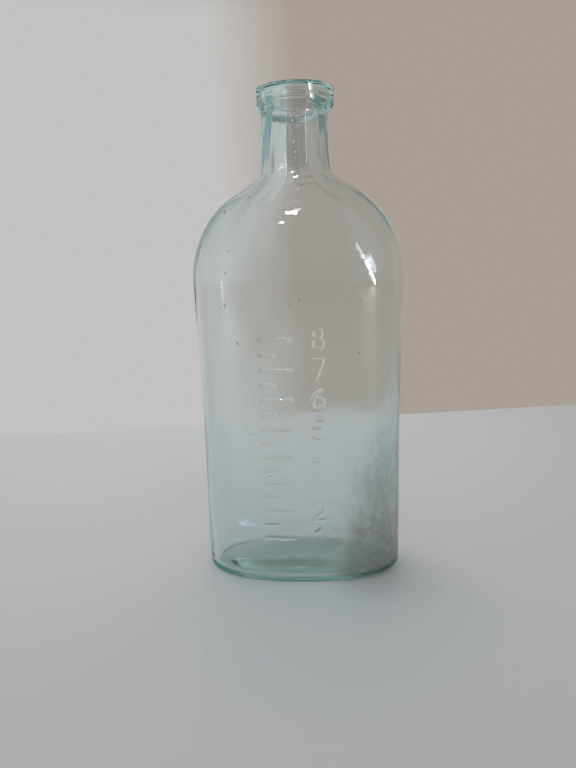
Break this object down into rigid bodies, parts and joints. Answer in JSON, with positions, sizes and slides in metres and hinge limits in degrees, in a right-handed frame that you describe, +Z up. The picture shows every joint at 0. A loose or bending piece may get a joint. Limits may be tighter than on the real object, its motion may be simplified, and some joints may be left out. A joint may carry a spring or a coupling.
{
  "type": "medicine bottle",
  "caption": "Empty oval flask-shaped medicine bottle of pale aqua glass with round shoulders, a short neck, an open mouth, a thick applied lip and a plain raised dose scale.",
  "frame": {"origin": "middle of the resting plane under the bottle", "axes": "+Z up the bottle's axis towards the mouth, +X to the right seen from the front, -Y out of the front face with the dose scale"},
  "size_m": [0.093, 0.0475, 0.215],
  "materials": {
    "aqua_glass": "pale aqua hand-made glass, smooth and slightly wavy, with small seeds"
  },
  "bodies": {
    "root": {"base": "aqua_glass", "body": "aqua_glass", "shoulder": "aqua_glass", "neck": "aqua_glass", "applied_lip": "aqua_glass"}
  },
  "joints": []
}
